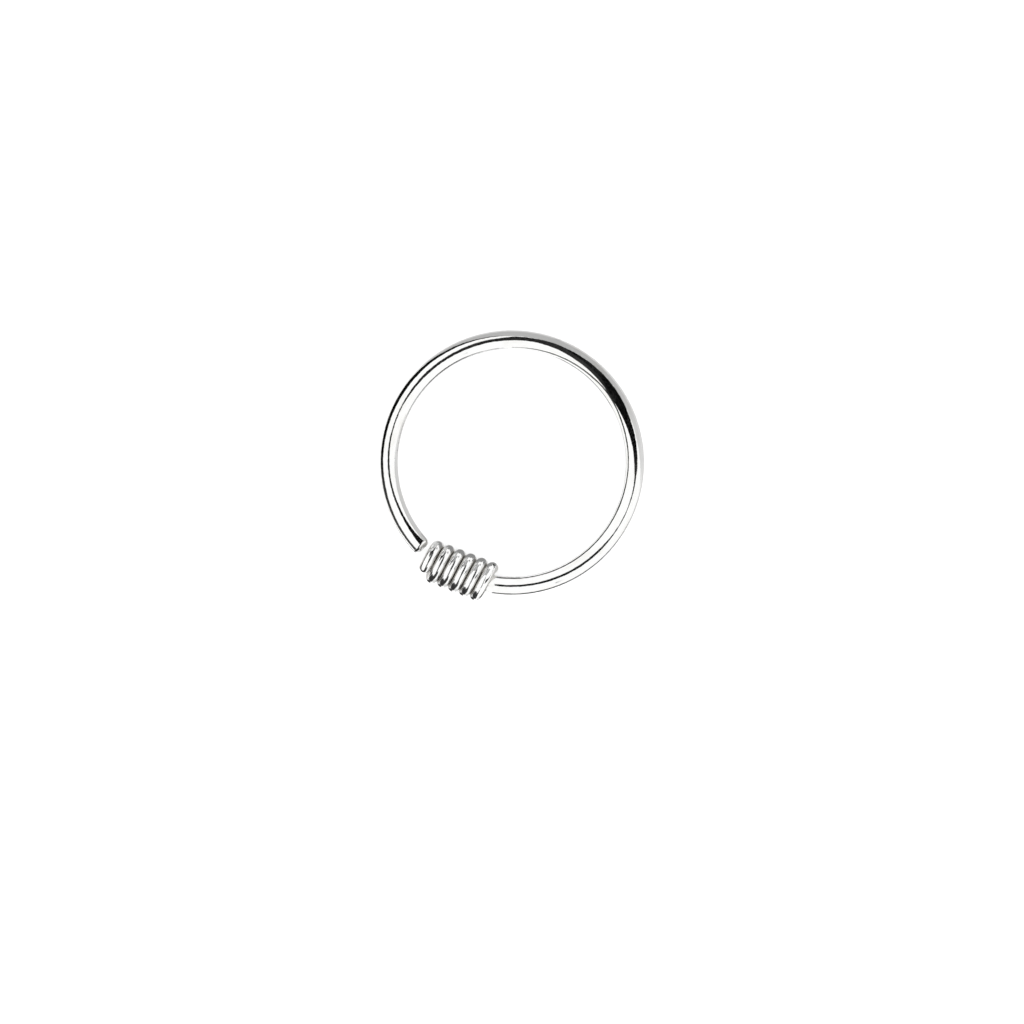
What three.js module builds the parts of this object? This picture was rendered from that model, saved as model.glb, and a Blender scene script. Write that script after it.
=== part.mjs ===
// A nose ring: an open hoop of round wire whose one end lies in a short coil of finer wire.
// The other end of the hoop is free and stops just short of the coil, so the ring can be sprung open.
//
// Millimetres, +Z up. The ring lies on its side on the plane Z = 0, as it would by itself: on the
// coil's turns at the front (-Y) and on the far side of the hoop (+Y), so the hoop leans a little.
// The origin is on that plane, under the hoop's centre, and +X runs along the coil.

import * as THREE from "three";

// Driving sizes of the hoop
const HOOP_INNER_DIAMETER = 8.0;
const HOOP_WIRE_DIAMETER = 0.64;
const HOOP_END_ROUNDING = 0.2;
const HOOP_BEND_RADIUS = 1.2; // where the hoop's arc turns into the straight stretch in the coil
const OPENING_GAP = 0.1; // from the free end, before its rounding, to the coil's first turn

// Driving sizes of the coil
const COIL_WIRE_DIAMETER = 0.4;
const COIL_END_ROUNDING = 0.1;
const COIL_TURN_GAP = 0.008; // between one turn and the next, square to the wire
const COIL_BORE_CLEARANCE = 0.03; // all round the hoop's wire
const COIL_AXIS_INSET = 0.09; // how far the straight coil lies inside the hoop's round centreline
const COIL_FRONT_PASSES = 6; // times the wire crosses the side that faces up
const COIL_LEAD_IN = 44; // degrees of wire before the first of those crossings
const COIL_RUN_OUT = 110; // degrees of wire after the last of them
const SEATED_END_RECESS = 0.28; // how far inside the coil's outer end the hoop's other end stops

// How finely the round wires are faceted
const HOOP_SIDES = 16;
const HOOP_STEP_DEGREES = 4;
const COIL_SIDES = 12;
const COIL_STEP_DEGREES = 15;
const END_STEPS = 3; // rings of facets that make each rounded wire end

const FULL_TURN = 2 * Math.PI;
const QUARTER_TURN = Math.PI / 2;
const { degToRad } = THREE.MathUtils;

// Radii and the coil's pitch. Turns that lean need more room along the coil than square to the wire.
const hoopWireRadius = HOOP_WIRE_DIAMETER / 2;
const hoopInnerRadius = HOOP_INNER_DIAMETER / 2;
const hoopRadius = hoopInnerRadius + hoopWireRadius;
const coilWireRadius = COIL_WIRE_DIAMETER / 2;
const coilRadius = hoopWireRadius + COIL_BORE_CLEARANCE + coilWireRadius;
const coilOuterRadius = coilRadius + coilWireRadius;
const turnSpacing = COIL_WIRE_DIAMETER + COIL_TURN_GAP;
const coilLean = Math.asin(turnSpacing / (FULL_TURN * coilRadius));
const coilPitch = turnSpacing / Math.cos(coilLean);
const leadInAngle = degToRad(COIL_LEAD_IN);
const woundAngle = leadInAngle + (COIL_FRONT_PASSES - 1) * FULL_TURN + degToRad(COIL_RUN_OUT);

// How far along the coil its wire has moved after it has wound through an angle
const advance = (angle) => (coilPitch * angle) / FULL_TURN;

// In the hoop's own plane the coil's axis is the line y = -axisDistance, and the hoop's wire follows
// it up to the bend, whose circle touches both that line and the hoop's round centreline. The coil
// runs on over the bend until the wire in it has moved across by half of the clearance.
const axisDistance = hoopRadius - COIL_AXIS_INSET;
const bendCentreY = HOOP_BEND_RADIUS - axisDistance;
const bendCentreX = Math.sqrt((hoopRadius - HOOP_BEND_RADIUS) ** 2 - bendCentreY ** 2);
const mouthX = bendCentreX + Math.sqrt(HOOP_BEND_RADIUS * COIL_BORE_CLEARANCE);
const coilFirstX = mouthX - coilWireRadius - advance(woundAngle);
const seatedEndX = coilFirstX - coilWireRadius + SEATED_END_RECESS;

// The free end faces the coil's first turn where that passes the side towards the hoop's centre.
const firstTurnX = coilFirstX + advance(leadInAngle + QUARTER_TURN) - coilWireRadius;
const freeEndAngle = -QUARTER_TURN + Math.asin((firstTurnX - OPENING_GAP) / hoopInnerRadius);

// The rest on a flat surface: the coil is thicker than the hoop's wire and lifts its side.
const leanAngle = Math.asin((coilOuterRadius - hoopWireRadius) / (axisDistance + hoopRadius));
const hoopCentreHeight = hoopWireRadius + hoopRadius * Math.sin(leanAngle);

// A straight round wire with rounded ends, on the Y axis from 0 to its length.
function straightWire(length, wireRadius, rounding, sides, longestStep) {
  const firstEnd = [new THREE.Vector2(0, 0)];
  for (let i = 0; i < END_STEPS; i++) {
    const angle = (QUARTER_TURN * i) / END_STEPS;
    firstEnd.push(
      new THREE.Vector2(
        wireRadius - rounding * (1 - Math.sin(angle)),
        rounding * (1 - Math.cos(angle)),
      ),
    );
  }
  const lastEnd = firstEnd.map((point) => new THREE.Vector2(point.x, length - point.y)).reverse();

  const straight = length - 2 * rounding;
  const steps = Math.ceil(straight / longestStep);
  const middle = [];
  for (let i = 0; i <= steps; i++) {
    middle.push(new THREE.Vector2(wireRadius, rounding + (straight * i) / steps));
  }
  return new THREE.LatheGeometry([...firstEnd, ...middle, ...lastEnd], sides);
}

// Bends a straight wire. placeAt gives, for a distance along the wire, the point of the bent
// centreline there, its direction, and one direction square to it.
function bendWire(geometry, placeAt) {
  const positions = geometry.getAttribute("position");
  for (let i = 0; i < positions.count; i++) {
    const { point, along, across } = placeAt(positions.getY(i));
    const third = across.clone().cross(along);
    point.addScaledVector(across, positions.getX(i)).addScaledVector(third, positions.getZ(i));
    positions.setXYZ(i, point.x, point.y, point.z);
  }
  geometry.computeVertexNormals();
  return geometry;
}

// The hoop's centreline in its own plane: the long arc from the free end, the bend, and the
// straight stretch in the coil.
function hoopCentreline() {
  const bendAngle = Math.atan2(bendCentreY, bendCentreX);
  const clockwise = true;
  return new THREE.Path()
    .absarc(0, 0, hoopRadius, freeEndAngle, bendAngle, clockwise)
    .absarc(bendCentreX, bendCentreY, HOOP_BEND_RADIUS, bendAngle, -QUARTER_TURN, clockwise)
    .lineTo(seatedEndX, -axisDistance);
}

function hoopGeometry() {
  const centreline = hoopCentreline();
  const length = centreline.getLength();
  const longestStep = hoopRadius * degToRad(HOOP_STEP_DEGREES);
  const wire = straightWire(length, hoopWireRadius, HOOP_END_ROUNDING, HOOP_SIDES, longestStep);
  return bendWire(wire, (distance) => {
    const share = Math.min(distance / length, 1);
    const point = centreline.getPoint(share);
    const along = centreline.getTangent(share);
    return {
      point: new THREE.Vector3(point.x, point.y, 0),
      along: new THREE.Vector3(along.x, along.y, 0),
      across: new THREE.Vector3(along.y, -along.x, 0),
    };
  });
}

// The coil is wound left-handed. An angle of 0 is on the side that faces up, and a quarter turn is
// on the side towards the hoop's centre.
function coilGeometry() {
  const lengthPerRadian = coilRadius / Math.cos(coilLean);
  const length = woundAngle * lengthPerRadian;
  const longestStep = lengthPerRadian * degToRad(COIL_STEP_DEGREES);
  const wire = straightWire(length, coilWireRadius, COIL_END_ROUNDING, COIL_SIDES, longestStep);
  return bendWire(wire, (distance) => {
    const wound = distance / lengthPerRadian;
    const angle = wound - leadInAngle;
    const outward = new THREE.Vector3(0, Math.sin(angle), Math.cos(angle));
    const round = new THREE.Vector3(0, Math.cos(angle), -Math.sin(angle));
    const point = new THREE.Vector3(coilFirstX + advance(wound), -axisDistance, 0);
    return {
      point: point.addScaledVector(outward, coilRadius),
      along: round.multiplyScalar(Math.cos(coilLean)).setX(Math.sin(coilLean)),
      across: outward,
    };
  });
}

const polishedSilver = new THREE.MeshStandardMaterial({
  name: "polished_silver",
  color: 0xf2f1ee,
  metalness: 1,
  roughness: 0.06,
});

const polishedSilverCoil = new THREE.MeshStandardMaterial({
  name: "polished_silver_coil",
  color: 0xe4e4e2,
  metalness: 1,
  roughness: 0.12,
});

const hoop = new THREE.Mesh(hoopGeometry(), polishedSilver);
hoop.name = "hoop";

const coil = new THREE.Mesh(coilGeometry(), polishedSilverCoil);
coil.name = "coil";

const noseRing = new THREE.Group();
noseRing.name = "nose_ring";
noseRing.add(hoop, coil);
noseRing.rotation.x = -leanAngle;
noseRing.position.z = hoopCentreHeight;

export default noseRing;
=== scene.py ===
import math
from types import SimpleNamespace

import bpy
from mathutils import Euler, Matrix, Vector


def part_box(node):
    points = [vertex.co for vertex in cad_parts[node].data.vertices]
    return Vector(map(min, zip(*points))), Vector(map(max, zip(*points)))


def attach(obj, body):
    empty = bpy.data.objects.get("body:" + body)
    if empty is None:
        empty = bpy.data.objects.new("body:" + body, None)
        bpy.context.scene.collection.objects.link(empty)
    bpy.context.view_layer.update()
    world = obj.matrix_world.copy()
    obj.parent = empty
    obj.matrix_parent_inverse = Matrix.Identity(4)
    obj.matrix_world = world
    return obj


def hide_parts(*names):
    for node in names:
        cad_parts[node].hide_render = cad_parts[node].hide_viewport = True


# A nose ring: a round wire hoop whose seated end lies inside a small wound coil.
# It is made for Blender from the CAD frame.
bl_info = {
    "name": "Coil-end nose ring",
    "version": (1, 0, 0),
    "blender": (4, 5, 0),
    "location": "3D View > Sidebar > Nose ring",
    "description": "Makes a silver wire nose ring with a wound coil, its finish and a small studio",
    "category": "Add Mesh",
}

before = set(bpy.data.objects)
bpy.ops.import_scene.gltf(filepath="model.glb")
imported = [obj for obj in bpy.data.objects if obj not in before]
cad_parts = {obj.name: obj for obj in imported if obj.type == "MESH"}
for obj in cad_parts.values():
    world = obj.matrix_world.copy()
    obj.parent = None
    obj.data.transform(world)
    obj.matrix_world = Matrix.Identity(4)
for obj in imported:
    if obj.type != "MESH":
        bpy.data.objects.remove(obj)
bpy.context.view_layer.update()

MM = 0.001
QUARTER = math.pi / 2
FULL_TURN = math.pi * 2
BOX_SLACK = 0.02 * MM
HOOP_STEPS = 360
BEND_STEPS = 40
SEAT_STEPS = 30
ROUNDING_STEPS = 9
HAZE_DULLING = 0.05
WINDING_DULLING = 0.07
GROOVE_ROUGHNESS = 0.3
WOUND_MARK_SHARE = 0.08
FLOOR_HALF = 0.3
FRAME_DROP = 1.733 * MM
FRAME_SHIFT = 0.007 * MM
WIRE_PLACE = "wire_place"
WIRE_SIDE = "wire_side"


# Settings

class HoopSizes(bpy.types.PropertyGroup):
    """Sizes of the hoop"""

    inner_diameter: bpy.props.FloatProperty(
        name="Inner diameter", description="Inside width of the hoop", default=8.0 * MM,
        min=4 * MM, max=20 * MM, precision=5, unit="LENGTH")
    wire_diameter: bpy.props.FloatProperty(
        name="Wire diameter", description="Thickness of the hoop's wire", default=0.64 * MM,
        min=0.3 * MM, max=2 * MM, precision=5, unit="LENGTH")
    end_rounding: bpy.props.FloatProperty(
        name="End rounding", description="Radius filed on each end of the wire", default=0.2 * MM,
        min=0.01 * MM, max=0.32 * MM, precision=5, unit="LENGTH")
    bend_radius: bpy.props.FloatProperty(
        name="Bend radius", description="Radius of the bend where the wire turns into the coil",
        default=1.2 * MM, min=0.5 * MM, max=3 * MM, precision=5, unit="LENGTH")
    opening_gap: bpy.props.FloatProperty(
        name="Opening gap", description="Gap between the free end and the coil's first turn",
        default=0.1 * MM, min=0, max=2 * MM, precision=5, unit="LENGTH")
    end_recess: bpy.props.FloatProperty(
        name="Seated end recess", description="How far the seated end stops inside the coil",
        default=0.28 * MM, min=0, max=1 * MM, precision=5, unit="LENGTH")
    sides: bpy.props.IntProperty(
        name="Sides", description="Faces round the hoop's wire", default=64, min=16, max=96)


class CoilSizes(bpy.types.PropertyGroup):
    """Sizes of the coil"""

    wire_diameter: bpy.props.FloatProperty(
        name="Wire diameter", description="Thickness of the coil's wire", default=0.4 * MM,
        min=0.1 * MM, max=1 * MM, precision=5, unit="LENGTH")
    end_rounding: bpy.props.FloatProperty(
        name="End rounding", description="Radius filed on each end of the wire", default=0.1 * MM,
        min=0.01 * MM, max=0.2 * MM, precision=5, unit="LENGTH")
    turn_gap: bpy.props.FloatProperty(
        name="Turn gap", description="Gap between neighbouring turns", default=0.008 * MM,
        min=0, max=0.5 * MM, precision=6, unit="LENGTH")
    bore_clearance: bpy.props.FloatProperty(
        name="Bore clearance", description="Gap between the coil and the wire inside it",
        default=0.03 * MM, min=0, max=0.2 * MM, precision=6, unit="LENGTH")
    axis_inset: bpy.props.FloatProperty(
        name="Axis inset", description="How far the coil's axis lies inside the hoop's own circle",
        default=0.09 * MM, min=0, max=1 * MM, precision=6, unit="LENGTH")
    front_passes: bpy.props.IntProperty(
        name="Front passes", description="Turns that cross the front of the coil", default=6, min=2, max=20)
    lead_in: bpy.props.FloatProperty(
        name="Lead in", description="Turn of the wire before its first front pass",
        default=math.radians(44), subtype="ANGLE")
    run_out: bpy.props.FloatProperty(
        name="Run out", description="Turn of the wire after its last front pass",
        default=math.radians(110), subtype="ANGLE")
    sides: bpy.props.IntProperty(
        name="Sides", description="Faces round the coil's wire", default=32, min=12, max=64)
    steps: bpy.props.IntProperty(
        name="Steps", description="Points along each turn of the coil", default=300, min=24, max=360)


class SilverFinish(bpy.types.PropertyGroup):
    """Colour and polish of the silver"""

    colour: bpy.props.StringProperty(
        name="Silver", description="sRGB colour of polished sterling silver, as hex", default="F4F4F3")
    haze: bpy.props.StringProperty(
        name="Haze", description="sRGB colour of the silver where the buff left a haze, as hex",
        default="EDECE9")
    # Painted shade: the colour that darkens the grooves between the coil's turns.
    groove_shade_colour: bpy.props.StringProperty(
        name="Groove shade", description="sRGB colour of the film left where no buff reaches, as hex",
        default="D0CECA")
    roughness: bpy.props.FloatProperty(
        name="Roughness", description="Roughness of the buffed surface", default=0.06,
        min=0.0, max=1.0, subtype="FACTOR")
    mark_depth: bpy.props.FloatProperty(
        name="Mark depth", description="Depth of the drawing marks along the wire",
        default=0.0018 * MM, min=0, max=0.01 * MM, precision=7, unit="LENGTH")


class StudioSettings(bpy.types.PropertyGroup):
    """Floor, light and camera"""

    floor: bpy.props.StringProperty(
        name="Floor", description="sRGB colour of the floor, as hex", default="F2F2F2")
    tent: bpy.props.FloatProperty(
        name="Tent light", description="Brightness of the white tent on the floor", default=1.9,
        min=0.0, max=4.0)
    panel: bpy.props.FloatProperty(
        name="Panel light", description="Brightness of the white panels that the metal mirrors",
        default=1.1, min=0.0, max=4.0)
    turn: bpy.props.FloatProperty(
        name="Camera turn", description="Turn of the ring in the picture", default=math.radians(21.4),
        subtype="ANGLE")
    distance: bpy.props.FloatProperty(
        name="Camera distance", description="From the lens to the hoop's centre", default=99.8 * MM,
        precision=5, unit="LENGTH")


# Shared makers

def lay_out(hoop, coil):
    """Every size that follows from the settings, worked out as in the CAD source."""
    it = SimpleNamespace()
    it.hoop_wire = hoop.wire_diameter / 2
    it.hoop_radius = hoop.inner_diameter / 2 + it.hoop_wire
    it.coil_wire = coil.wire_diameter / 2
    it.coil_radius = it.hoop_wire + coil.bore_clearance + it.coil_wire
    it.coil_outer = it.coil_radius + it.coil_wire
    spacing = coil.wire_diameter + coil.turn_gap
    it.pitch = spacing / math.cos(math.asin(spacing / (FULL_TURN * it.coil_radius)))
    it.wound = coil.lead_in + (coil.front_passes - 1) * FULL_TURN + coil.run_out
    it.coil_length = it.pitch * it.wound / FULL_TURN
    it.axis_distance = it.hoop_radius - coil.axis_inset
    it.bend_y = hoop.bend_radius - it.axis_distance
    it.bend_x = math.sqrt((it.hoop_radius - hoop.bend_radius) ** 2 - it.bend_y ** 2)
    mouth = it.bend_x + math.sqrt(hoop.bend_radius * coil.bore_clearance)
    it.coil_first = mouth - it.coil_wire - it.coil_length
    it.seated_end = it.coil_first - it.coil_wire + hoop.end_recess
    first_turn = it.coil_first + it.pitch * (coil.lead_in + QUARTER) / FULL_TURN - it.coil_wire
    it.free_angle = -QUARTER + math.asin((first_turn - hoop.opening_gap) * 2 / hoop.inner_diameter)
    it.lean = math.asin((it.coil_outer - it.hoop_wire) / (it.axis_distance + it.hoop_radius))
    it.height = it.hoop_wire + it.hoop_radius * math.sin(it.lean)
    it.place = Matrix.Translation((0, 0, it.height)) @ Matrix.Rotation(-it.lean, 4, "X")
    return it


def current_layout(scene):
    return lay_out(scene.nose_ring_hoop, scene.nose_ring_coil)


def linear(code):
    """An sRGB hex colour as linear RGBA."""
    parts = [int(code[i:i + 2], 16) / 255 for i in (0, 2, 4)]
    return tuple(c / 12.92 if c <= 0.04045 else ((c + 0.055) / 1.055) ** 2.4 for c in parts) + (1.0,)


def add_node(tree, kind, links=None, **settings):
    """Adds a node. Settings whose name is an input's number, as in_0, fill that input."""
    node = tree.nodes.new(kind)
    for name, value in settings.items():
        if name.startswith("in_"):
            node.inputs[int(name[3:])].default_value = value
        else:
            setattr(node, name, value)
    for target, source in (links or {}).items():
        tree.links.new(source, node.inputs[target])
    return node


def new_tree(name, sockets):
    """A geometry tree with a mesh result and the named inputs given as (name, kind, default)."""
    old = bpy.data.node_groups.get(name)
    if old:
        bpy.data.node_groups.remove(old)
    tree = bpy.data.node_groups.new(name, "GeometryNodeTree")
    for label, kind, default in sockets:
        socket = tree.interface.new_socket(label, in_out="INPUT", socket_type=kind)
        if default is not None:
            socket.default_value = default
    tree.interface.new_socket("Geometry", in_out="OUTPUT", socket_type="NodeSocketGeometry")
    return tree, tree.nodes.new("NodeGroupInput"), tree.nodes.new("NodeGroupOutput")


def clean_out(name):
    """Removes an earlier object of this name, so that a maker can be run again."""
    old = bpy.data.objects.get(name)
    if old:
        bpy.data.objects.remove(old)


def bake_nodes(name, start_mesh, tree, values):
    """Runs a tree on a mesh, its inputs set by identifier, and returns the result as a plain mesh object."""
    clean_out(name)
    work = bpy.data.objects.new(name + "_work", start_mesh)
    bpy.context.scene.collection.objects.link(work)
    modifier = work.modifiers.new("Make", "NODES")
    modifier.node_group = tree
    names = {item.name: item.identifier for item in tree.interface.items_tree if item.in_out == "INPUT"}
    for label, value in values.items():
        modifier[names[label]] = value
    graph = bpy.context.evaluated_depsgraph_get()
    graph.update()
    mesh = bpy.data.meshes.new_from_object(work.evaluated_get(graph))
    work.modifiers.remove(modifier)
    bpy.data.objects.remove(work)
    mesh.name = name
    piece = bpy.data.objects.new(name, mesh)
    bpy.context.scene.collection.objects.link(piece)
    return piece


def hand_over(piece, node):
    """Checks a finished piece against the CAD node it stands for, and puts it in that node's place."""
    low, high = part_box(node)
    points = [v.co for v in piece.data.vertices]
    if not points:
        raise RuntimeError(f"{piece.name} came out empty")
    for axis in range(3):
        values = [p[axis] for p in points]
        if abs(min(values) - low[axis]) > BOX_SLACK or abs(max(values) - high[axis]) > BOX_SLACK:
            raise RuntimeError(f"{piece.name} doesn't fit the solid {node} along axis {axis}: "
                               f"{min(values)} {low[axis]} {max(values)} {high[axis]}")
    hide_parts(node)
    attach(piece, "root")


# Wire makers

def round_wire_tree():
    """Sweeps a round wire along a path, rounds its ends, and keeps each point's place on the wire."""
    tree, given, result = new_tree("Round wire", [
        ("Path", "NodeSocketGeometry", None), ("Wire Radius", "NodeSocketFloat", 0.32 * MM),
        ("End Rounding", "NodeSocketFloat", 0.1 * MM), ("Sides", "NodeSocketInt", 32),
        ("Across", "NodeSocketVector", None)])
    path, radius, rounding, sides, across = given.outputs[0:5]
    along = add_node(tree, "GeometryNodeSplineParameter")
    whole = add_node(tree, "GeometryNodeSplineLength")
    left = add_node(tree, "ShaderNodeMath", {0: whole.outputs["Length"], 1: along.outputs["Length"]},
                    operation="SUBTRACT")
    near = add_node(tree, "ShaderNodeMath", {0: left.outputs[0], 1: along.outputs["Length"]},
                    operation="MINIMUM")
    share = add_node(tree, "ShaderNodeMath", {0: near.outputs[0], 1: rounding}, operation="DIVIDE",
                     use_clamp=True)
    deep = add_node(tree, "ShaderNodeMath", {1: share.outputs[0]}, operation="SUBTRACT", in_0=1.0)
    square = add_node(tree, "ShaderNodeMath", {0: deep.outputs[0], 1: deep.outputs[0]}, operation="MULTIPLY")
    rest = add_node(tree, "ShaderNodeMath", {1: square.outputs[0]}, operation="SUBTRACT", in_0=1.0)
    rise = add_node(tree, "ShaderNodeMath", {0: rest.outputs[0]}, operation="SQRT")
    short = add_node(tree, "ShaderNodeMath", {0: rise.outputs[0]}, operation="SUBTRACT", in_1=1.0)
    lost = add_node(tree, "ShaderNodeMath", {0: short.outputs[0], 1: rounding, 2: radius},
                    operation="MULTIPLY_ADD")
    scale = add_node(tree, "ShaderNodeMath", {0: lost.outputs[0], 1: radius}, operation="DIVIDE")
    circle = add_node(tree, "GeometryNodeCurvePrimitiveCircle", {"Resolution": sides, "Radius": radius})
    spot = add_node(tree, "GeometryNodeInputPosition")
    rim = add_node(tree, "GeometryNodeStoreNamedAttribute",
                   {"Geometry": circle.outputs["Curve"], "Value": spot.outputs[0]},
                   data_type="FLOAT_VECTOR", domain="POINT", in_2="wire_rim")
    line = add_node(tree, "GeometryNodeStoreNamedAttribute",
                    {"Geometry": path, "Value": along.outputs["Length"]},
                    data_type="FLOAT", domain="POINT", in_2="wire_length")
    middle = add_node(tree, "GeometryNodeStoreNamedAttribute",
                      {"Geometry": line.outputs[0], "Value": spot.outputs[0]},
                      data_type="FLOAT_VECTOR", domain="POINT", in_2="wire_middle")
    sweep = add_node(tree, "GeometryNodeCurveToMesh",
                     {"Curve": middle.outputs[0], "Profile Curve": rim.outputs[0], "Scale": scale.outputs[0]})
    sweep.inputs["Fill Caps"].default_value = True
    read_rim = add_node(tree, "GeometryNodeInputNamedAttribute", data_type="FLOAT_VECTOR", in_0="wire_rim")
    read_line = add_node(tree, "GeometryNodeInputNamedAttribute", data_type="FLOAT", in_0="wire_length")
    lift = add_node(tree, "ShaderNodeCombineXYZ", {"Z": read_line.outputs[0]})
    place = add_node(tree, "ShaderNodeVectorMath", {0: read_rim.outputs[0], 1: lift.outputs[0]},
                     operation="ADD")
    keep = add_node(tree, "GeometryNodeStoreNamedAttribute",
                    {"Geometry": sweep.outputs[0], "Value": place.outputs[0]},
                    data_type="FLOAT_VECTOR", domain="POINT", in_2=WIRE_PLACE)
    read_middle = add_node(tree, "GeometryNodeInputNamedAttribute", data_type="FLOAT_VECTOR",
                           in_0="wire_middle")
    off = add_node(tree, "ShaderNodeVectorMath", {0: spot.outputs[0], 1: read_middle.outputs[0]},
                   operation="SUBTRACT")
    outward = add_node(tree, "ShaderNodeVectorMath", {0: off.outputs[0]}, operation="NORMALIZE")
    side = add_node(tree, "ShaderNodeVectorMath", {0: outward.outputs[0], 1: across},
                    operation="DOT_PRODUCT")
    keep_side = add_node(tree, "GeometryNodeStoreNamedAttribute",
                         {"Geometry": keep.outputs[0], "Value": side.outputs["Value"]},
                         data_type="FLOAT", domain="POINT", in_2=WIRE_SIDE)
    drop_middle = add_node(tree, "GeometryNodeRemoveAttribute", {"Geometry": keep_side.outputs[0]},
                           in_1="wire_middle")
    drop_rim = add_node(tree, "GeometryNodeRemoveAttribute", {"Geometry": drop_middle.outputs[0]},
                        in_1="wire_rim")
    drop_line = add_node(tree, "GeometryNodeRemoveAttribute", {"Geometry": drop_rim.outputs[0]},
                         in_1="wire_length")
    smooth = add_node(tree, "GeometryNodeSetShadeSmooth", {"Geometry": drop_line.outputs[0]}, domain="FACE")
    edges = add_node(tree, "GeometryNodeSetShadeSmooth", {"Geometry": smooth.outputs[0]}, domain="EDGE")
    tree.links.new(edges.outputs[0], result.inputs[0])
    return tree


def finish_tree(tree, geometry, place, material, result):
    """Ends a tree: puts the wire where the ring lies, realises it and gives it its metal."""
    move = add_node(tree, "GeometryNodeTransform", {"Geometry": geometry},
                    in_1=place.to_translation(), in_2=place.to_euler())
    real = add_node(tree, "GeometryNodeRealizeInstances", {"Geometry": move.outputs[0]})
    metal = add_node(tree, "GeometryNodeSetMaterial", {"Geometry": real.outputs[0], "Material": material})
    tree.links.new(metal.outputs[0], result.inputs[0])


def hoop_path(it, hoop):
    """Points down the middle of the hoop's wire, from the free end round to the seated end."""
    bend_angle = math.atan2(it.bend_y, it.bend_x)
    sweep = (it.free_angle - bend_angle) % FULL_TURN
    points = []
    for step in range(HOOP_STEPS + 1):
        angle = it.free_angle - sweep * step / HOOP_STEPS
        points.append(Vector((math.cos(angle), math.sin(angle), 0)) * it.hoop_radius)
    turned = (bend_angle + QUARTER) % FULL_TURN
    for step in range(1, BEND_STEPS + 1):
        angle = bend_angle - turned * step / BEND_STEPS
        points.append(Vector((it.bend_x + hoop.bend_radius * math.cos(angle),
                              it.bend_y + hoop.bend_radius * math.sin(angle), 0)))
    run = it.bend_x - it.seated_end
    for step in range(1, SEAT_STEPS + 1):
        points.append(Vector((it.bend_x - run * step / SEAT_STEPS, -it.axis_distance, 0)))
    return add_end_steps(points, hoop.end_rounding)


def add_end_steps(points, rounding):
    """Puts close points in the rounded length at both ends of a path, so that the ends come out smooth."""
    for _ in range(2):
        lengths = [0.0]
        for a, b in zip(points, points[1:]):
            lengths.append(lengths[-1] + (b - a).length)
        wanted = [rounding * (1 - math.cos(QUARTER * step / ROUNDING_STEPS))
                  for step in range(ROUNDING_STEPS + 1)]
        start = []
        for want in wanted:
            index = max(i for i, length in enumerate(lengths[:-1]) if length <= want)
            share = (want - lengths[index]) / (lengths[index + 1] - lengths[index])
            start.append(points[index].lerp(points[index + 1], share))
        later = [p for p, length in zip(points, lengths) if length > rounding * 1.05]
        points = list(reversed(start + later))
    return points


class RING_OT_hoop(bpy.types.Operator):
    """Make the hoop: one round wire, bent to a circle, with a bend and a straight seated end"""

    bl_idname = "nose_ring.hoop"
    bl_label = "Make the hoop"
    bl_options = {"REGISTER", "UNDO"}

    def execute(self, context):
        hoop = context.scene.nose_ring_hoop
        it = current_layout(context.scene)
        points = hoop_path(it, hoop)
        line = bpy.data.meshes.new("hoop_path")
        line.from_pydata(points, [(i, i + 1) for i in range(len(points) - 1)], [])
        tree, given, result = new_tree("Hoop", [
            ("Geometry", "NodeSocketGeometry", None), ("Wire Radius", "NodeSocketFloat", 0.32 * MM),
            ("End Rounding", "NodeSocketFloat", 0.2 * MM), ("Sides", "NodeSocketInt", 64),
            ("Material", "NodeSocketMaterial", None)])
        path = add_node(tree, "GeometryNodeMeshToCurve", {0: given.outputs[0]})
        wire = add_node(tree, "GeometryNodeGroup", node_tree=round_wire_tree())
        tree.links.new(path.outputs[0], wire.inputs[0])
        for index in (1, 2, 3):
            tree.links.new(given.outputs[index], wire.inputs[index])
        wire.inputs[4].default_value = (0, 0, 1)
        finish_tree(tree, wire.outputs[0], it.place, given.outputs[4], result)
        piece = bake_nodes("hoop_wire", line, tree, {
            "Wire Radius": it.hoop_wire, "End Rounding": hoop.end_rounding, "Sides": hoop.sides,
            "Material": drawn_silver(context.scene)})
        hand_over(piece, "hoop")
        return {"FINISHED"}


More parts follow.
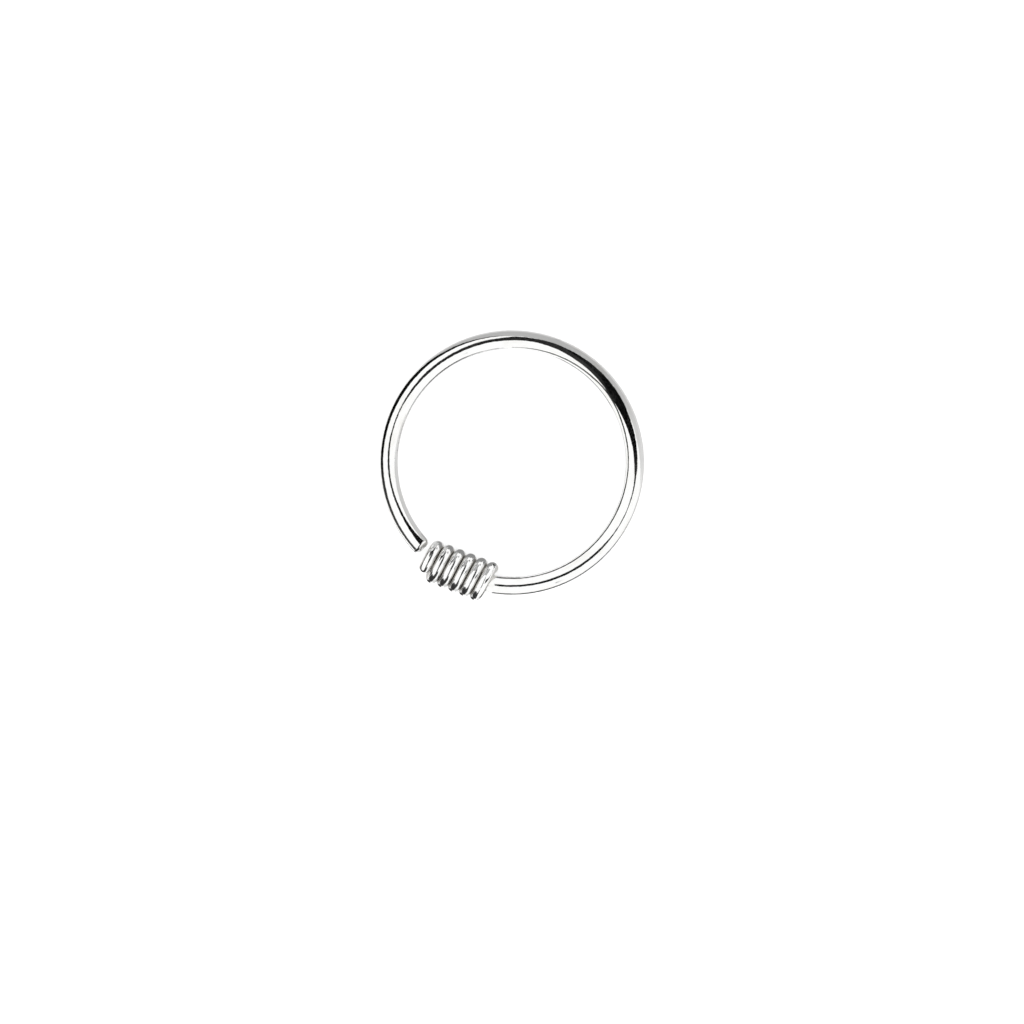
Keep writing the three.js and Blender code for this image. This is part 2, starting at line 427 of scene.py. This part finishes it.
class RING_OT_coil(bpy.types.Operator):
    """Make the coil: thin round wire wound close round the hoop's seated end"""

    bl_idname = "nose_ring.coil"
    bl_label = "Make the coil"
    bl_options = {"REGISTER", "UNDO"}

    def execute(self, context):
        coil = context.scene.nose_ring_coil
        it = current_layout(context.scene)
        tree, given, result = new_tree("Coil", [
            ("Geometry", "NodeSocketGeometry", None), ("Wire Radius", "NodeSocketFloat", 0.2 * MM),
            ("End Rounding", "NodeSocketFloat", 0.1 * MM), ("Sides", "NodeSocketInt", 32),
            ("Steps", "NodeSocketInt", 240), ("Turns", "NodeSocketFloat", 5.4),
            ("Winding Radius", "NodeSocketFloat", 0.55 * MM), ("Length", "NodeSocketFloat", 2.2 * MM),
            ("First Angle", "NodeSocketVector", None), ("First Point", "NodeSocketVector", None),
            ("Material", "NodeSocketMaterial", None)])
        spiral = add_node(tree, "GeometryNodeCurveSpiral", {
            "Resolution": given.outputs[4], "Rotations": given.outputs[5], "Start Radius": given.outputs[6],
            "End Radius": given.outputs[6], "Height": given.outputs[7]})
        spiral.inputs["Reverse"].default_value = False
        start = add_node(tree, "GeometryNodeTransform",
                         {"Geometry": spiral.outputs[0], "Rotation": given.outputs[8]})
        lay = add_node(tree, "GeometryNodeTransform",
                       {"Geometry": start.outputs[0], "Translation": given.outputs[9]},
                       in_2=Euler((0, QUARTER, 0)))
        wire = add_node(tree, "GeometryNodeGroup", node_tree=round_wire_tree())
        tree.links.new(lay.outputs[0], wire.inputs[0])
        for index in (1, 2, 3):
            tree.links.new(given.outputs[index], wire.inputs[index])
        wire.inputs[4].default_value = (1, 0, 0)
        finish_tree(tree, wire.outputs[0], it.place, given.outputs[10], result)
        piece = bake_nodes("coil_wire", bpy.data.meshes.new("coil_start"), tree, {
            "Wire Radius": it.coil_wire, "End Rounding": coil.end_rounding, "Sides": coil.sides,
            "Steps": coil.steps, "Turns": it.wound / FULL_TURN, "Winding Radius": it.coil_radius,
            "Length": it.coil_length, "First Angle": (0, 0, math.pi + coil.lead_in),
            "First Point": (it.coil_first, -it.axis_distance, 0),
            "Material": wound_silver(context.scene)})
        hand_over(piece, "coil")
        return {"FINISHED"}


# Finishes

def new_material(name):
    old = bpy.data.materials.get(name)
    if old:
        bpy.data.materials.remove(old)
    material = bpy.data.materials.new(name)
    material.use_nodes = True
    tree = material.node_tree
    shader = next(n for n in tree.nodes if n.type == "BSDF_PRINCIPLED")
    shader.inputs["Metallic"].default_value = 1.0
    return material, tree, shader


def drawn_silver(scene):
    """Sterling silver wire, drawn through a die and buffed: a mirror with fine lines along the wire."""
    finish = scene.nose_ring_silver
    material, tree, shader = new_material("Drawn and buffed sterling silver")
    place = add_node(tree, "ShaderNodeAttribute", attribute_name=WIRE_PLACE)
    # Buffing leaves a faint haze in patches of about 0.4 mm, a little warmer and duller than the rest.
    patch_size = add_node(tree, "ShaderNodeMapping", {"Vector": place.outputs["Vector"]},
                          in_3=(2500.0, 2500.0, 1200.0))
    patches = add_node(tree, "ShaderNodeTexNoise", {"Vector": patch_size.outputs[0]}, in_2=1.0, in_3=4.0)
    haze = add_node(tree, "ShaderNodeMapRange", {"Value": patches.outputs[0]},
                    interpolation_type="SMOOTHSTEP", in_1=0.45, in_2=0.75, in_3=0.0, in_4=1.0)
    tint = add_node(tree, "ShaderNodeMix", {0: haze.outputs[0]}, data_type="RGBA")
    tint.inputs[6].default_value = linear(finish.colour)
    tint.inputs[7].default_value = linear(finish.haze)
    tree.links.new(tint.outputs[2], shader.inputs["Base Color"])
    dull = add_node(tree, "ShaderNodeMapRange", {"Value": haze.outputs[0]}, in_3=finish.roughness,
                    in_4=finish.roughness + HAZE_DULLING)
    tree.links.new(dull.outputs[0], shader.inputs["Roughness"])
    # The die leaves lines about 0.03 mm apart, drawn long here: 0.05 mm across and 1 mm along the wire.
    lines = add_node(tree, "ShaderNodeMapping", {"Vector": place.outputs["Vector"]},
                     in_3=(20000.0, 20000.0, 5000.0))
    marks = add_node(tree, "ShaderNodeTexNoise", {"Vector": lines.outputs[0]}, in_2=1.0, in_3=3.0)
    bump = add_node(tree, "ShaderNodeBump", {"Height": marks.outputs[0]})
    bump.inputs["Distance"].default_value = finish.mark_depth
    tree.links.new(bump.outputs[0], shader.inputs["Normal"])
    return material


def wound_silver(scene):
    """Thin silver wire after winding: a mirror on the outside of the turns, dull in the grooves, with painted
    shade darkening the grooves between the turns.
    """
    finish = scene.nose_ring_silver
    material, tree, shader = new_material("Wound sterling silver wire")
    place = add_node(tree, "ShaderNodeAttribute", attribute_name=WIRE_PLACE)
    side = add_node(tree, "ShaderNodeAttribute", attribute_name=WIRE_SIDE)
    # Painted shade: the groove walls between the turns, the sides facing along the coil, are tinted darker
    # and dulled, in patches of about 0.1 mm.
    # Winding costs the rest of the wire a little of its polish, and smooths its drawing marks.
    patch_size = add_node(tree, "ShaderNodeMapping", {"Vector": place.outputs["Vector"]},
                          in_3=(9000.0, 9000.0, 5000.0))
    patches = add_node(tree, "ShaderNodeTexNoise", {"Vector": patch_size.outputs[0]}, in_2=1.0, in_3=3.0)
    depth = add_node(tree, "ShaderNodeMath", {0: side.outputs["Fac"]}, operation="ABSOLUTE")
    wander = add_node(tree, "ShaderNodeMath", {0: patches.outputs[0], 2: depth.outputs[0]},
                      operation="MULTIPLY_ADD", in_1=0.25)
    painted_groove_shade = add_node(tree, "ShaderNodeMapRange", {"Value": wander.outputs[0]},
                    interpolation_type="SMOOTHSTEP", in_1=0.74, in_2=1.04, in_3=0.0, in_4=1.0)
    tint = add_node(tree, "ShaderNodeMix", {0: painted_groove_shade.outputs[0]}, data_type="RGBA")
    tint.inputs[6].default_value = linear(finish.colour)
    tint.inputs[7].default_value = linear(finish.groove_shade_colour)
    tree.links.new(tint.outputs[2], shader.inputs["Base Color"])
    dull = add_node(tree, "ShaderNodeMapRange", {"Value": painted_groove_shade.outputs[0]},
                    in_3=finish.roughness + WINDING_DULLING, in_4=GROOVE_ROUGHNESS)
    tree.links.new(dull.outputs[0], shader.inputs["Roughness"])
    lines = add_node(tree, "ShaderNodeMapping", {"Vector": place.outputs["Vector"]},
                     in_3=(20000.0, 20000.0, 6000.0))
    marks = add_node(tree, "ShaderNodeTexNoise", {"Vector": lines.outputs[0]}, in_2=1.0, in_3=3.0)
    bump = add_node(tree, "ShaderNodeBump", {"Height": marks.outputs[0]})
    bump.inputs["Distance"].default_value = finish.mark_depth * WOUND_MARK_SHARE
    tree.links.new(bump.outputs[0], shader.inputs["Normal"])
    return material


# Studio

# What the polished wire mirrors besides the white tent: a card's name, how it hangs, where, and its rows.
# "over" hangs flat at a height, with rows of azimuth, inner and outer radius. "round" stands on a circle of a
# radius, with rows of azimuth, low and high edge. Lengths are in mm from the hoop's centre and plane, and
# azimuths in degrees clockwise in the picture from its right. A row's last number is how bright the card is
# there: 0 is black, and 1.1 is a lit white panel.
OVERHEAD = 1.5
UNDER = -0.5
INNER = 2.95
SIDE = 6.6
CARDS = [
    ("overhead_ribbon", "over", OVERHEAD, [
        (-6, 3.90, 5.16, 0.0), (0, 4.02, 5.08, 0.012), (8, 4.40, 4.94, 0.012), (16, 4.58, 4.88, 0.012),
        (26, 4.60, 4.86, 0.012), (36, 4.42, 4.80, 0.012), (46, 4.20, 4.82, 0.012), (60, 4.12, 4.80, 0.012),
        (75, 4.06, 4.70, 0.012), (98, 4.08, 4.60, 0.012)]),
    ("overhead_leaf", "over", OVERHEAD, [
        (135.4, 2.9, 4.28, 0.0), (140, 2.9, 4.24, 0.0), (145, 2.85, 4.17, 0.0), (150, 2.95, 4.06, 0.0),
        (155, 3.25, 4.06, 0.0), (160, 3.46, 4.14, 0.005), (170, 3.86, 4.38, 0.01), (180, 4.02, 4.56, 0.012),
        (190, 4.15, 4.64, 0.015), (200, 4.20, 4.56, 0.015), (208, 4.16, 4.54, 0.015),
        (215, 4.00, 4.58, 0.015), (225, 3.86, 4.64, 0.015), (240, 3.84, 4.64, 0.015),
        (250, 3.82, 4.72, 0.015), (260, 3.90, 4.80, 0.015), (266, 3.90, 4.92, 0.015),
        (272, 4.00, 5.20, 0.015), (280, 4.08, 5.26, 0.015), (290, 3.89, 5.40, 0.02),
        (300, 3.58, 5.62, 0.022), (310, 3.20, 5.80, 0.022), (320, 2.55, 5.88, 0.015), (326, 1.80, 5.75, 0.0),
        (331, 2.35, 5.70, 0.0), (337, 2.88, 5.38, 0.0), (345, 3.42, 5.24, 0.0), (354, 3.88, 5.16, 0.0)]),
    ("overhead_core", "over", OVERHEAD - 0.02, [
        (292, 5.20, 5.36, 0.0), (300, 4.70, 5.60, 0.0), (310, 4.35, 5.78, 0.0), (318, 4.00, 5.86, 0.0),
        (323, 3.30, 5.80, 0.0), (327, 2.60, 5.72, 0.0), (332, 2.60, 5.64, 0.0)]),
    ("overhead_white", "over", OVERHEAD + 0.03, [
        (135.4, 2.95, 5.3, 1.1), (150, 2.95, 5.5, 1.1), (180, 2.95, 5.6, 1.1), (196, 2.95, 6.1, 1.1),
        (205, 2.95, 6.5, 1.1), (225, 2.95, 6.5, 1.1), (235, 2.95, 6.45, 1.1), (240, 2.95, 6.35, 1.1),
        (245, 2.95, 6.2, 1.1), (250, 2.95, 6.0, 1.1), (255, 2.95, 5.85, 1.1), (260, 2.95, 5.7, 1.1),
        (266, 2.95, 5.4, 1.1), (272, 2.95, 5.05, 1.1), (280, 2.95, 5.15, 1.1), (290, 2.95, 5.4, 1.1),
        (300, 2.95, 5.7, 1.1), (310, 2.95, 5.9, 1.1), (320, 2.7, 6.0, 1.1), (330, 2.5, 5.6, 1.1),
        (345, 2.95, 5.2, 1.1), (360, 2.95, 5.6, 1.1), (380, 2.95, 5.5, 1.1), (462, 2.95, 5.4, 1.1)]),
    ("inner_white", "round", INNER, [(12, -1.3, 1.53, 1.1), (98, -1.3, 1.53, 1.1)]),
    ("inner_white_top", "round", INNER, [
        (248, -1.3, 1.53, 1.1), (310, -1.3, 1.53, 1.1), (318, -1.3, 0.72, 1.1), (372, -1.3, 0.72, 1.1)]),
    ("inner_grey", "round", INNER - 0.05, [
        (135.4, -2.2, 0.6, 0.60), (147, -2.2, 0.75, 0.62), (165, -2.2, 0.6, 0.66), (182, -2.2, 0.3, 0.72),
        (205, -2.2, 0.1, 0.9)]),
    ("inner_line", "round", INNER + 0.05, [
        (270, -0.71, -0.41, 0.3), (285, -0.40, 0.00, 0.06), (300, -0.03, 0.38, 0.02), (312, 0.20, 0.66, 0.0),
        (322, 0.48, 0.98, 0.0), (330, 0.42, 0.90, 0.0), (340, 0.16, 0.60, 0.0), (352, 0.00, 0.44, 0.02),
        (366, -0.18, 0.24, 0.04), (380, -0.44, 0.14, 0.0), (400, -0.52, 0.05, 0.0), (420, -0.44, 0.10, 0.0),
        (440, -0.40, 0.07, 0.03), (458, -0.40, 0.05, 0.05)]),
    ("inner_black", "round", INNER - 0.03, [
        (135.4, 0.60, 1.5, 0.0), (138, 0.68, 1.5, 0.0), (141, 0.84, 1.5, 0.0), (144, 1.15, 1.5, 0.0),
        (147, 1.45, 1.5, 0.0)]),
    ("side_black", "round", SIDE, [
        (135.4, -0.7, 1.0, 0.05), (142, -0.6, 0.9, 0.06), (152, -0.7, 0.9, 0.05), (162, -0.8, 1.05, 0.04),
        (172, -0.9, 1.05, 0.03), (182, -1.0, 0.95, 0.0),
        (200, -1.3, 1.0, 0.0), (218, -1.4, 1.1, 0.0), (228, -0.8, 1.15, 0.0), (235, -0.2, 1.3, 0.0),
        (240, 0.2, 1.45, 0.0), (245, 0.5, 1.65, 0.0), (250, 0.9, 1.9, 0.01), (255, 1.3, 2.1, 0.03),
        (260, 1.6, 2.25, 0.07), (266, 1.9, 2.3, 0.2)]),
    ("side_white", "round", SIDE + 0.03, [
        (135, -3.0, 1.6, 1.1), (222, -3.0, 1.6, 1.1), (235, 1.2, 1.6, 1.1), (250, 1.8, 2.0, 1.1)]),
    ("mouth_side", "round", SIDE, [(70, -1.6, 3.4, 1.1), (104, -1.6, 3.4, 1.1)]),
    ("side_grey", "round", SIDE + 0.05, [
        (222, -0.85, -0.8, 0.50), (232, -0.85, 0.5, 0.50), (240, -0.85, 1.1, 0.50), (250, -0.85, 1.5, 0.50),
        (260, -0.85, 2.2, 0.50), (270, -0.8, 2.8, 0.50), (300, -0.75, 2.8, 0.50), (325, -0.75, 2.8, 0.54),
        (340, -0.75, 2.6, 0.66), (352, -0.75, 2.0, 0.74), (362, -0.75, 1.0, 0.76), (370, -0.5, 0.0, 0.9)]),
    # The under cards lie at the floor's height near the wire: grey and dark sheets that the metal mirrors as
    # the shade on the floor next to the wire, a painted shade in the reflection.
    ("under_grey", "over", UNDER + 0.05, [(86, 1.2, 3.4, 0.28), (142, 1.2, 3.4, 0.28)]),
    ("under_inner_line", "over", UNDER, [
        (185, 3.12, 3.28, 0.03), (210, 3.08, 3.32, 0.03), (222, 3.00, 3.42, 0.02), (232, 2.82, 3.52, 0.02),
        (242, 2.82, 3.52, 0.02), (252, 3.02, 3.40, 0.03), (266, 3.14, 3.28, 0.03)]),
    ("under_outer_line", "over", UNDER, [
        (16, 5.42, 5.44, 0.03), (30, 5.36, 5.54, 0.03), (50, 5.10, 5.82, 0.03), (75, 5.02, 5.94, 0.02),
        (99, 4.98, 5.96, 0.02)]),
]

# The room beyond the cards: a name, right and down in the picture, half length, half width and turn, all in
# degrees from straight above, then brightness and softness, and whether it is a disc, a box or all outside.
ROOM = [
    ("left grey", -28, -100, 68, 46.5, 21, 0.45, 0.02, "box"),
    ("low grey", 0, 0, 117, 117, 0, 0.72, 0.04, "outside"),
    ("far left flag", -100, 125, 72, 30, 50, 0.05, 0.1, "disc"),
    ("low white", -28, 150, 42, 22, 21, 1.1, 0.1, "disc"),
    ("lower left flag", -69, 76, 62, 27, 50, 0.03, 0.1, "disc"),
    ("lower right flag", -20, 84, 50, 27, -33.5, 0.03, 0.1, "disc"),
    ("grey's dark edge", 26, -74, 42, 6, -69, 0.2, 0.3, "disc"),
    ("far spot", 50, -93, 14, 7, 28, 0.05, 0.2, "disc"),
    ("dark bar", 12.5, -10, 36, 16, -69, 0.0, 0.12, "disc"),
    ("dark bar's end", -2.5, 29, 42, 10, -69, 0.0, 0.15, "disc"),
]


def picture_axes(it, turn):
    """Right, up and towards the camera, for a camera square to the hoop and turned about that line."""
    along = Vector((1, 0, 0))
    across = Vector((0, math.cos(it.lean), -math.sin(it.lean)))
    towards = Vector((0, math.sin(it.lean), math.cos(it.lean)))
    right = along * math.cos(turn) + across * math.sin(turn)
    up = across * math.cos(turn) - along * math.sin(turn)
    return right, up, towards


def mirrored_studio(tree, it, studio):
    """The room as the metal mirrors it beyond the cards: white panels with dark flags, fixed in place."""
    right, up, towards = picture_axes(it, studio.turn)
    look = add_node(tree, "ShaderNodeTexCoord")
    direction = look.outputs["Generated"]
    parts = [add_node(tree, "ShaderNodeVectorMath", {0: direction}, operation="DOT_PRODUCT", in_1=axis)
             for axis in (right, -up, towards)]
    polar = add_node(tree, "ShaderNodeMath", {0: parts[2].outputs["Value"]}, operation="ARCCOSINE")
    degrees = add_node(tree, "ShaderNodeMath", {0: polar.outputs[0]}, operation="DEGREES")
    flat = add_node(tree, "ShaderNodeCombineXYZ",
                    {"X": parts[0].outputs["Value"], "Y": parts[1].outputs["Value"]})
    unit = add_node(tree, "ShaderNodeVectorMath", {0: flat.outputs[0]}, operation="NORMALIZE")
    spot = add_node(tree, "ShaderNodeVectorMath", {0: unit.outputs[0], "Scale": degrees.outputs[0]},
                    operation="SCALE")
    light = add_node(tree, "ShaderNodeRGB")
    light.outputs[0].default_value = (studio.panel, studio.panel, studio.panel, 1)
    colour = light.outputs[0]
    for name, x, y, length, width, turn, tone, soft, part in ROOM:
        fit = add_node(tree, "ShaderNodeMapping", {"Vector": spot.outputs[0]}, vector_type="TEXTURE",
                       in_1=(x, y, 0), in_2=(0, 0, math.radians(turn)), in_3=(length, width, 1))
        if part == "box":
            size = add_node(tree, "ShaderNodeVectorMath", {0: fit.outputs[0]}, operation="ABSOLUTE")
            sides = add_node(tree, "ShaderNodeSeparateXYZ", {0: size.outputs[0]})
            value = add_node(tree, "ShaderNodeMath", {0: sides.outputs[0], 1: sides.outputs[1]},
                             operation="MAXIMUM").outputs[0]
        else:
            value = add_node(tree, "ShaderNodeVectorMath", {0: fit.outputs[0]},
                             operation="LENGTH").outputs["Value"]
        inside, outside = (0.0, 1.0) if part == "outside" else (1.0, 0.0)
        edge = add_node(tree, "ShaderNodeMapRange", {"Value": value}, interpolation_type="SMOOTHSTEP",
                        in_1=1 - soft, in_2=1 + soft, in_3=inside, in_4=outside)
        mix = add_node(tree, "ShaderNodeMix", {0: edge.outputs[0]}, data_type="RGBA", label=name)
        tree.links.new(colour, mix.inputs[6])
        mix.inputs[7].default_value = (tone, tone, tone, 1)
        colour = mix.outputs[2]
    return colour


def eased(rows, angle):
    """A row's values at an angle, eased between the rows on either side of it."""
    same = 1e-6
    after = next(i for i, row in enumerate(rows) if row[0] >= angle - same)
    if rows[after][0] - angle < same:
        return rows[after][1:]
    a, b = rows[after - 1], rows[after]
    before = rows[after - 2] if after > 1 else a
    beyond = rows[after + 1] if after + 1 < len(rows) else b
    span = b[0] - a[0]
    t = (angle - a[0]) / span
    values = []
    for k in range(1, len(a)):
        slope_a = (b[k] - before[k]) / (b[0] - before[0]) * span
        slope_b = (beyond[k] - a[k]) / (beyond[0] - a[0]) * span
        values.append((2 * t ** 3 - 3 * t ** 2 + 1) * a[k] + (t ** 3 - 2 * t ** 2 + t) * slope_a
                      + (3 * t ** 2 - 2 * t ** 3) * b[k] + (t ** 3 - t ** 2) * slope_b)
    return values


def card_mesh(name, kind, where, rows, it, turn):
    """One card as a ribbon of faces, with its brightness kept on its points."""
    right, up, towards = picture_axes(it, turn)
    centre = Vector((0, 0, it.height))
    points, tones = [], []
    span = rows[-1][0] - rows[0][0]
    steps = math.ceil(span)
    for step in range(steps + 1):
        azimuth = rows[0][0] + span * step / steps
        first, second, tone = eased(rows, azimuth)
        out = right * math.cos(math.radians(azimuth)) - up * math.sin(math.radians(azimuth))
        for edge in (first, second):
            flat, rise = (edge, where) if kind == "over" else (where, edge)
            points.append(centre + (out * flat + towards * rise) * MM)
            tones.append(max(tone, 0.0))
    faces = [(2 * i, 2 * i + 1, 2 * i + 3, 2 * i + 2) for i in range(steps)]
    mesh = bpy.data.meshes.new(name)
    mesh.from_pydata(points, [], faces)
    mesh.attributes.new("tone", "FLOAT", "POINT").data.foreach_set("value", tones)
    return mesh


def hang_cards(scene, it, turn):
    """Hangs the cards so that only the metal sees them: they cast no shadow and stay out of the picture."""
    board = bpy.data.materials.new("Lit card")
    board.use_nodes = True
    tree = board.node_tree
    tree.nodes.clear()
    tone = add_node(tree, "ShaderNodeAttribute", attribute_name="tone")
    glow = add_node(tree, "ShaderNodeEmission", {"Strength": tone.outputs["Fac"]})
    add_node(tree, "ShaderNodeOutputMaterial", {0: glow.outputs[0]})
    for name, kind, where, rows in CARDS:
        clean_out(name)
        mesh = card_mesh(name, kind, where, rows, it, turn)
        mesh.materials.append(board)
        card = bpy.data.objects.new(name, mesh)
        scene.collection.objects.link(card)
        card.visible_camera = False
        card.visible_diffuse = False
        card.visible_transmission = False
        card.visible_volume_scatter = False
        card.visible_shadow = False


class RING_OT_studio(bpy.types.Operator):
    """Make the stage: pale floor, white tent with cards, and the camera"""

    bl_idname = "nose_ring.studio"
    bl_label = "Make the studio"
    bl_options = {"REGISTER", "UNDO"}

    def execute(self, context):
        scene = context.scene
        studio = scene.nose_ring_studio
        it = current_layout(scene)
        right, up, towards = picture_axes(it, studio.turn)

        clean_out("floor")
        half = FLOOR_HALF
        mesh = bpy.data.meshes.new("floor")
        mesh.from_pydata([(-half, -half, 0), (half, -half, 0), (half, half, 0), (-half, half, 0)], [],
                         [(0, 1, 2, 3)])
        floor = bpy.data.objects.new("floor", mesh)
        scene.collection.objects.link(floor)
        floor.visible_glossy = False
        paint = bpy.data.materials.new("Matt white board")
        paint.use_nodes = True
        board = next(n for n in paint.node_tree.nodes if n.type == "BSDF_PRINCIPLED")
        board.inputs["Base Color"].default_value = linear(studio.floor)
        board.inputs["Roughness"].default_value = 1.0
        board.inputs["Specular IOR Level"].default_value = 0.0
        mesh.materials.append(paint)
        hang_cards(scene, it, studio.turn)

        world = bpy.data.worlds.new("Tent")
        scene.world = world
        world.use_nodes = True
        tree = world.node_tree
        tree.nodes.clear()
        tent = add_node(tree, "ShaderNodeBackground", in_0=(1, 1, 1, 1), in_1=studio.tent)
        mirrored = add_node(tree, "ShaderNodeBackground", {0: mirrored_studio(tree, it, studio)}, in_1=1.0)
        ray = add_node(tree, "ShaderNodeLightPath")
        both = add_node(tree, "ShaderNodeMixShader", {0: ray.outputs["Is Glossy Ray"], 1: tent.outputs[0],
                                                      2: mirrored.outputs[0]})
        add_node(tree, "ShaderNodeOutputWorld", {0: both.outputs[0]})

        clean_out("camera")
        eye = bpy.data.cameras.new("camera")
        eye.lens = 100
        eye.sensor_width = 36
        eye.clip_start = 0.002
        eye.clip_end = 5
        camera = bpy.data.objects.new("camera", eye)
        scene.collection.objects.link(camera)
        centre = Vector((0, 0, it.height))
        spot = centre + towards * studio.distance - up * FRAME_DROP + right * FRAME_SHIFT
        turn = Matrix((right, up, towards)).transposed().to_4x4()
        camera.matrix_world = Matrix.Translation(spot) @ turn
        scene.camera = camera
        scene.view_settings.view_transform = "Standard"
        scene.view_settings.look = "None"
        return {"FINISHED"}


class RING_PT_panel(bpy.types.Panel):
    """Lists the makers and their settings"""

    bl_idname = "RING_PT_panel"
    bl_label = "Nose ring"
    bl_space_type = "VIEW_3D"
    bl_region_type = "UI"
    bl_category = "Nose ring"

    def draw(self, context):
        for operator, group in (("nose_ring.hoop", "nose_ring_hoop"), ("nose_ring.coil", "nose_ring_coil"),
                                (None, "nose_ring_silver"), ("nose_ring.studio", "nose_ring_studio")):
            settings = getattr(context.scene, group)
            column = self.layout.column(align=True)
            for name in settings.__annotations__:
                column.prop(settings, name)
            if operator:
                column.operator(operator)
            self.layout.separator()


CLASSES = (HoopSizes, CoilSizes, SilverFinish, StudioSettings, RING_OT_hoop, RING_OT_coil, RING_OT_studio,
           RING_PT_panel)
GROUPS = {"nose_ring_hoop": HoopSizes, "nose_ring_coil": CoilSizes, "nose_ring_silver": SilverFinish,
          "nose_ring_studio": StudioSettings}


def register():
    for item in CLASSES:
        bpy.utils.register_class(item)
    for name, group in GROUPS.items():
        setattr(bpy.types.Scene, name, bpy.props.PointerProperty(type=group))


def unregister():
    for name in GROUPS:
        delattr(bpy.types.Scene, name)
    for item in reversed(CLASSES):
        bpy.utils.unregister_class(item)


def main():
    register()
    bpy.ops.nose_ring.studio()
    bpy.ops.nose_ring.hoop()
    bpy.ops.nose_ring.coil()


if __name__ == "__main__":
    main()
